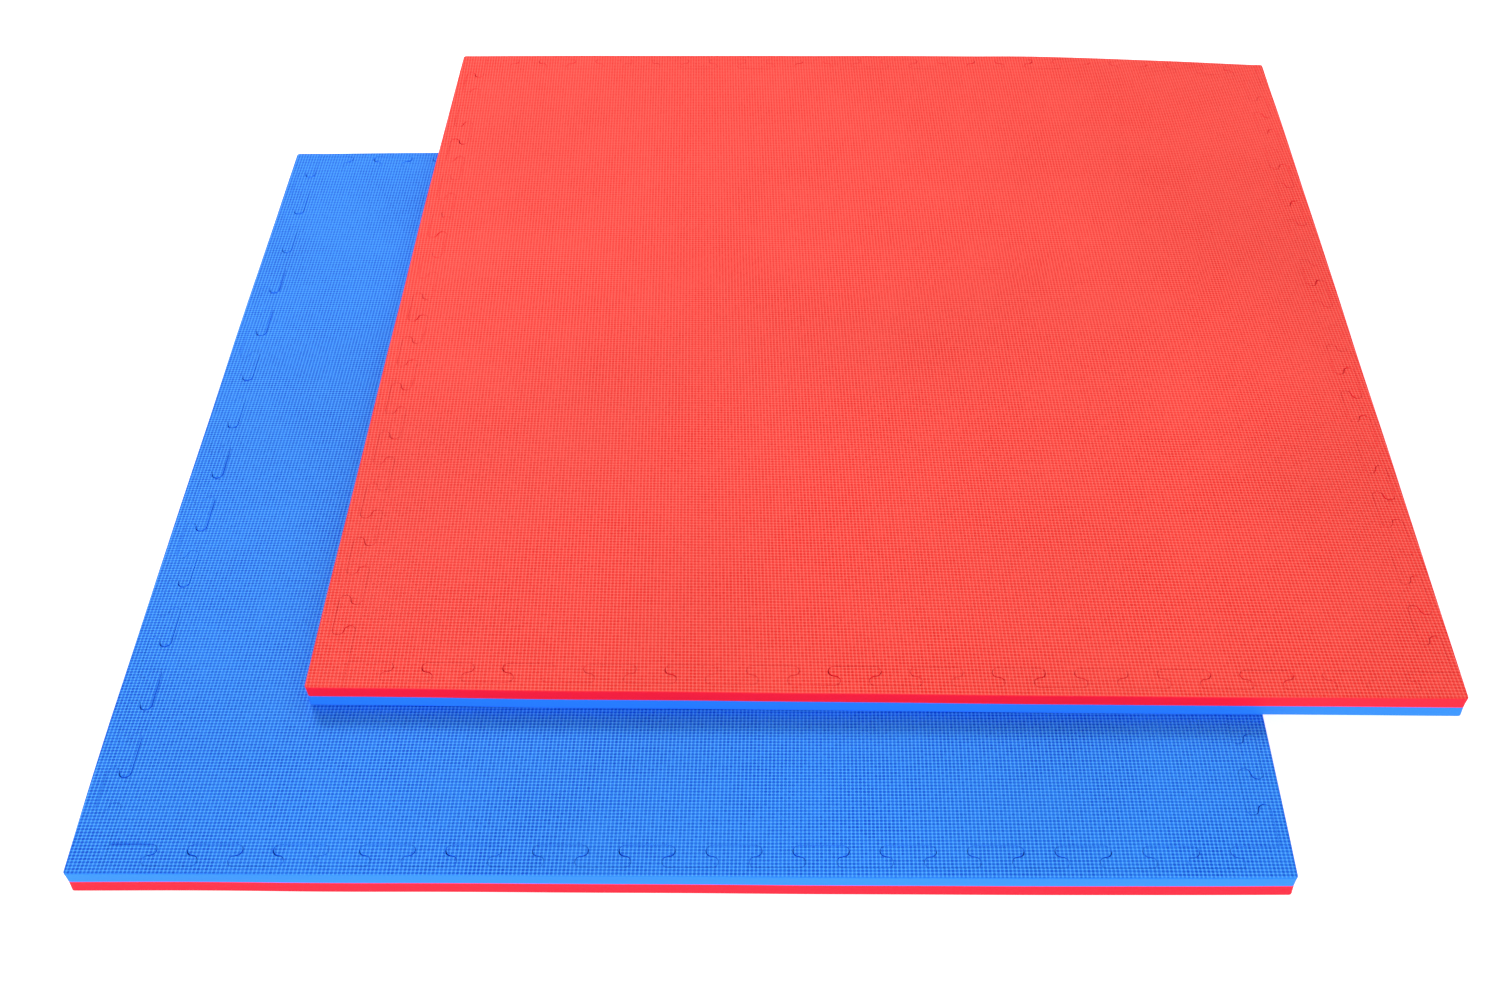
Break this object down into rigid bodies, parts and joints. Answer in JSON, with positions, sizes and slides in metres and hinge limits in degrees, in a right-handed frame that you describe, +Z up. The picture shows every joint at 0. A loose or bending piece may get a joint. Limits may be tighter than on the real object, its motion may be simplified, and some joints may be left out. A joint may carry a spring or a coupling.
{
  "type": "reversible interlocking foam mats",
  "caption": "Stack of square reversible red and blue foam mats, each a jigsaw-edged tile finished with lift-out border strips, the upper one lying askew and overhanging.",
  "frame": {"origin": "on the floor, under the centre of the stack's outline", "axes": "+Z up, +X and +Y along the lower mat's sides; the upper mat lies shifted towards +X and +Y"},
  "size_m": [1.1858, 1.1708, 0.0523],
  "materials": {
    "red_foam": "matt closed-cell foam, embossed with fine dimples on its outer face",
    "blue_foam": "matt closed-cell foam, embossed with fine dimples on its outer face"
  },
  "bodies": {
    "lower_tile": {"lower_tile_red_layer": "red_foam", "lower_tile_blue_layer": "blue_foam"},
    "lower_left_border": {"lower_left_border_red_layer": "red_foam", "lower_left_border_blue_layer": "blue_foam"},
    "lower_front_border": {"lower_front_border_red_layer": "red_foam", "lower_front_border_blue_layer": "blue_foam"},
    "lower_right_border": {"lower_right_border_red_layer": "red_foam", "lower_right_border_blue_layer": "blue_foam"},
    "lower_rear_border": {"lower_rear_border_red_layer": "red_foam", "lower_rear_border_blue_layer": "blue_foam"},
    "upper_tile": {"upper_tile_blue_layer": "blue_foam", "upper_tile_red_layer": "red_foam"},
    "upper_left_border": {"upper_left_border_blue_layer": "blue_foam", "upper_left_border_red_layer": "red_foam"},
    "upper_front_border": {"upper_front_border_blue_layer": "blue_foam", "upper_front_border_red_layer": "red_foam"},
    "upper_right_border": {"upper_right_border_blue_layer": "blue_foam", "upper_right_border_red_layer": "red_foam"},
    "upper_rear_border": {"upper_rear_border_blue_layer": "blue_foam", "upper_rear_border_red_layer": "red_foam"}
  },
  "joints": [
    {"name": "lower_left_border_lift", "type": "slide", "parent": "lower_tile", "child": "lower_left_border", "axis": [0, 0, 1], "range_m": [0, 0.06]},
    {"name": "lower_front_border_lift", "type": "slide", "parent": "lower_tile", "child": "lower_front_border", "axis": [0, 0, 1], "range_m": [0, 0.06]},
    {"name": "lower_rear_border_lift", "type": "slide", "parent": "lower_tile", "child": "lower_rear_border", "axis": [0, 0, 1], "range_m": [0, 0.06]},
    {"name": "lower_right_border_lift", "type": "slide", "parent": "lower_tile", "child": "lower_right_border", "axis": [0, 0, 1], "range_m": [0, 0.06]},
    {"name": "upper_mat_lift", "type": "slide", "parent": "lower_rear_border", "child": "upper_tile", "axis": [0, 0, 1], "range_m": [0, 0.3]},
    {"name": "upper_left_border_lift", "type": "slide", "parent": "upper_tile", "child": "upper_left_border", "axis": [0, 0, 1], "range_m": [0, 0.06]},
    {"name": "upper_front_border_lift", "type": "slide", "parent": "upper_tile", "child": "upper_front_border", "axis": [0, 0, 1], "range_m": [0, 0.06]},
    {"name": "upper_right_border_lift", "type": "slide", "parent": "upper_tile", "child": "upper_right_border", "axis": [0, 0, 1], "range_m": [0, 0.06]},
    {"name": "upper_rear_border_lift", "type": "slide", "parent": "upper_tile", "child": "upper_rear_border", "axis": [0, 0, 1], "range_m": [0, 0.06]}
  ],
  "couplings": [
    {"joint": "lower_right_border_lift", "follows": "lower_rear_border_lift", "ratio": 1}
  ]
}
